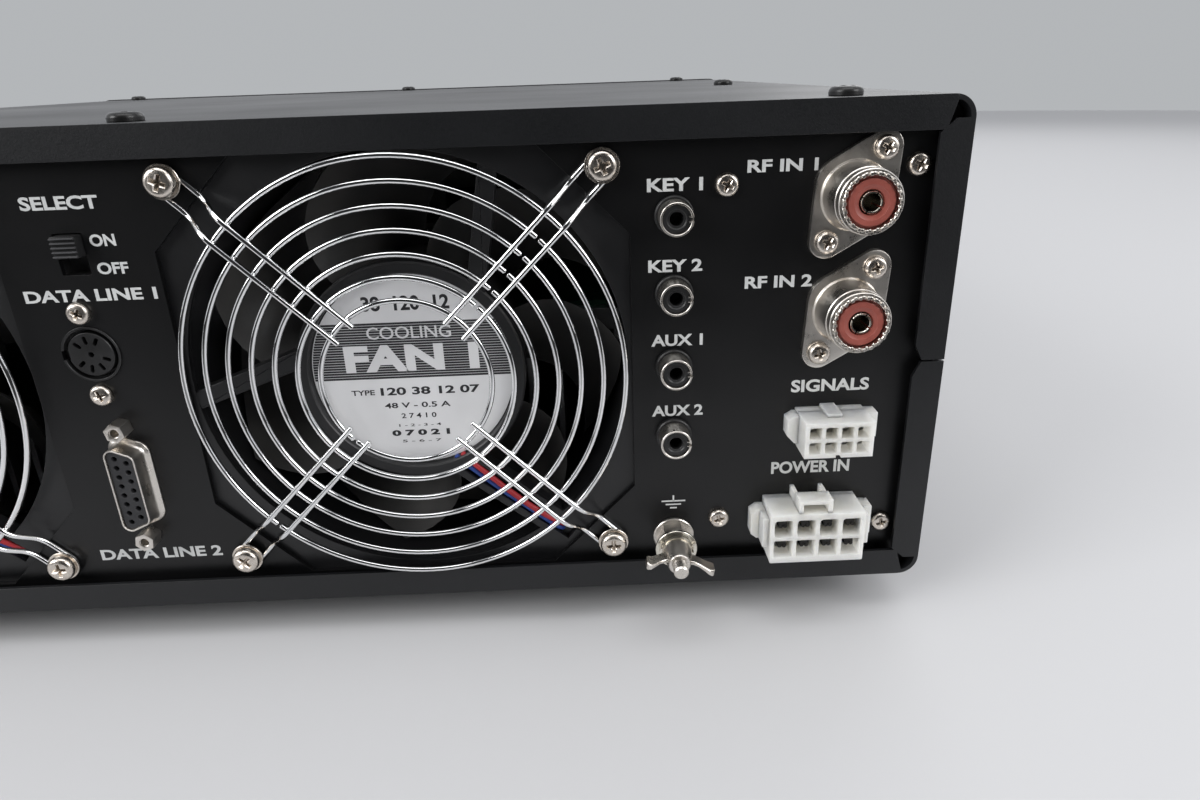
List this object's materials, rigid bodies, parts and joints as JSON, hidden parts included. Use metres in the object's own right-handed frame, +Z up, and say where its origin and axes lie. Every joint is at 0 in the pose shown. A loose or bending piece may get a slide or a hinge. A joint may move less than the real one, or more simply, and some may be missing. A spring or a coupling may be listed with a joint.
{
  "type": "hf linear amplifier",
  "caption": "Low sheet-metal HF amplifier case with guarded rear fans, coaxial sockets, jacks, data sockets and a ground terminal.",
  "frame": {"origin": "centre of the footprint, on the surface that the feet stand on", "axes": "+X across the width (left when seen from behind), +Y towards the rear panel, +Z up"},
  "size_m": [0.4108, 0.422, 0.1464],
  "materials": {
    "cover_black": "fine-textured powder coat",
    "panel_black": "satin paint",
    "front_black": "fine matt paint",
    "chassis_steel": "plated sheet steel",
    "screw_black": "black oxide",
    "screw_nickel": "nickel plate",
    "guard_chrome": "bright chrome plate",
    "nickel": "satin nickel plate",
    "fan_plastic": "moulded, glass filled",
    "blade_plastic": "moulded",
    "label_silver": "metallised label, satin",
    "lead_insulation": "vinyl",
    "phenolic": "moulded, semi-gloss",
    "contact_silver": "silver plate",
    "black_plastic": "moulded",
    "insert_plastic": "moulded",
    "nylon_white": "natural nylon, semi-gloss",
    "contact_tin": "tin plate",
    "rubber_black": "matt",
    "window": "clear tinted acrylic",
    "board_green": "solder mask",
    "key_grey": "satin",
    "knob_black": "satin, spun face",
    "aluminium": "extruded, plain",
    "ceramic_white": "unglazed",
    "ferrite": "matt",
    "coil_copper": "enamelled copper",
    "relay_case": "moulded"
  },
  "bodies": {
    "case": {"top_cover": "cover_black", "bottom_cover": "cover_black", "chassis": "chassis_steel", "rear_panel": "panel_black", "front_panel": "front_black", "cover_screws": "screw_black", "panel_screws": "screw_nickel", "feet": "rubber_black", "fan_frame_1": "fan_plastic", "fan_frame_2": "fan_plastic", "fan_labels": "label_silver", "fan_leads": "lead_insulation", "guard_1": "guard_chrome", "guard_2": "guard_chrome", "guard_screws": "screw_nickel", "guard_washers": "screw_nickel", "guard_nuts": "screw_nickel", "input_sockets": "nickel", "antenna_sockets": "nickel", "socket_insulators": "phenolic", "socket_contacts": "contact_silver", "socket_screws": "screw_nickel", "jack_sleeves": "nickel", "jack_bodies": "black_plastic", "din_socket": "insert_plastic", "din_screws": "screw_nickel", "dsub_shell": "nickel", "dsub_insert": "insert_plastic", "dsub_jackscrews": "screw_nickel", "switch_body": "black_plastic", "control_connector": "nylon_white", "power_connector": "nylon_white", "power_contacts": "contact_tin", "ground_stud": "nickel", "display_window": "window", "display_module": "board_green", "power_switch": "black_plastic", "selector_base": "chassis_steel", "heatsinks": "aluminium", "amplifier_boards": "board_green", "power_transistors": "ceramic_white", "rf_transformers": "ferrite", "filter_board": "board_green", "filter_coils": "coil_copper", "relays": "relay_case", "input_board": "board_green", "shield_plate": "chassis_steel"},
    "fan_1_rotor": {"fan_rotor_1": "blade_plastic"},
    "fan_2_rotor": {"fan_rotor_2": "blade_plastic"},
    "remote_switch": {"switch_knob": "black_plastic"},
    "terminal_washers": {"ground_washers": "contact_silver"},
    "terminal_nut": {"wing_nut": "nickel"},
    "power_key": {"power_button": "key_grey"},
    "selector": {"selector_knob": "knob_black"},
    "push_key_1": {"key_1": "key_grey"},
    "push_key_2": {"key_2": "key_grey"},
    "push_key_3": {"key_3": "key_grey"},
    "push_key_4": {"key_4": "key_grey"},
    "push_key_5": {"key_5": "key_grey"},
    "push_key_6": {"key_6": "key_grey"}
  },
  "joints": [
    {"name": "fan_1_spin", "type": "hinge", "parent": "case", "child": "fan_1_rotor", "pos_m": [-0.062, 0.171, 0.078], "axis": [0, 1, 0], "continuous": true},
    {"name": "fan_2_spin", "type": "hinge", "parent": "case", "child": "fan_2_rotor", "pos_m": [0.0953, 0.171, 0.078], "axis": [0, 1, 0], "continuous": true},
    {"name": "remote_switch_slide", "type": "slide", "parent": "case", "child": "remote_switch", "axis": [0, 0, 1], "range_m": [-0.0044, 0]},
    {"name": "washer_travel", "type": "slide", "parent": "case", "child": "terminal_washers", "axis": [0, 1, 0], "range_m": [0, 0.0035]},
    {"name": "wing_nut_turn", "type": "hinge", "parent": "terminal_washers", "child": "terminal_nut", "pos_m": [-0.132, 0.203, 0.026], "axis": [0, 1, 0], "range_deg": [0, 1820]},
    {"name": "power_press", "type": "slide", "parent": "case", "child": "power_key", "axis": [0, 1, 0], "range_m": [0, 0.0025], "stiffness_N_per_m": 300, "springref_m": -0.001},
    {"name": "key_1_press", "type": "slide", "parent": "case", "child": "push_key_1", "axis": [0, 1, 0], "range_m": [0, 0.0012], "stiffness_N_per_m": 400, "springref_m": -0.0005},
    {"name": "key_2_press", "type": "slide", "parent": "case", "child": "push_key_2", "axis": [0, 1, 0], "range_m": [0, 0.0012], "stiffness_N_per_m": 400, "springref_m": -0.0005},
    {"name": "key_3_press", "type": "slide", "parent": "case", "child": "push_key_3", "axis": [0, 1, 0], "range_m": [0, 0.0012], "stiffness_N_per_m": 400, "springref_m": -0.0005},
    {"name": "key_4_press", "type": "slide", "parent": "case", "child": "push_key_4", "axis": [0, 1, 0], "range_m": [0, 0.0012], "stiffness_N_per_m": 400, "springref_m": -0.0005},
    {"name": "key_5_press", "type": "slide", "parent": "case", "child": "push_key_5", "axis": [0, 1, 0], "range_m": [0, 0.0012], "stiffness_N_per_m": 400, "springref_m": -0.0005},
    {"name": "key_6_press", "type": "slide", "parent": "case", "child": "push_key_6", "axis": [0, 1, 0], "range_m": [0, 0.0012], "stiffness_N_per_m": 400, "springref_m": -0.0005},
    {"name": "selector_turn", "type": "hinge", "parent": "case", "child": "selector", "pos_m": [0.12, -0.195, 0.086], "axis": [0, -1, 0], "continuous": true}
  ],
  "couplings": [
    {"joint": "wing_nut_turn", "follows": "washer_travel", "rad_per_m": 8975.9}
  ]
}
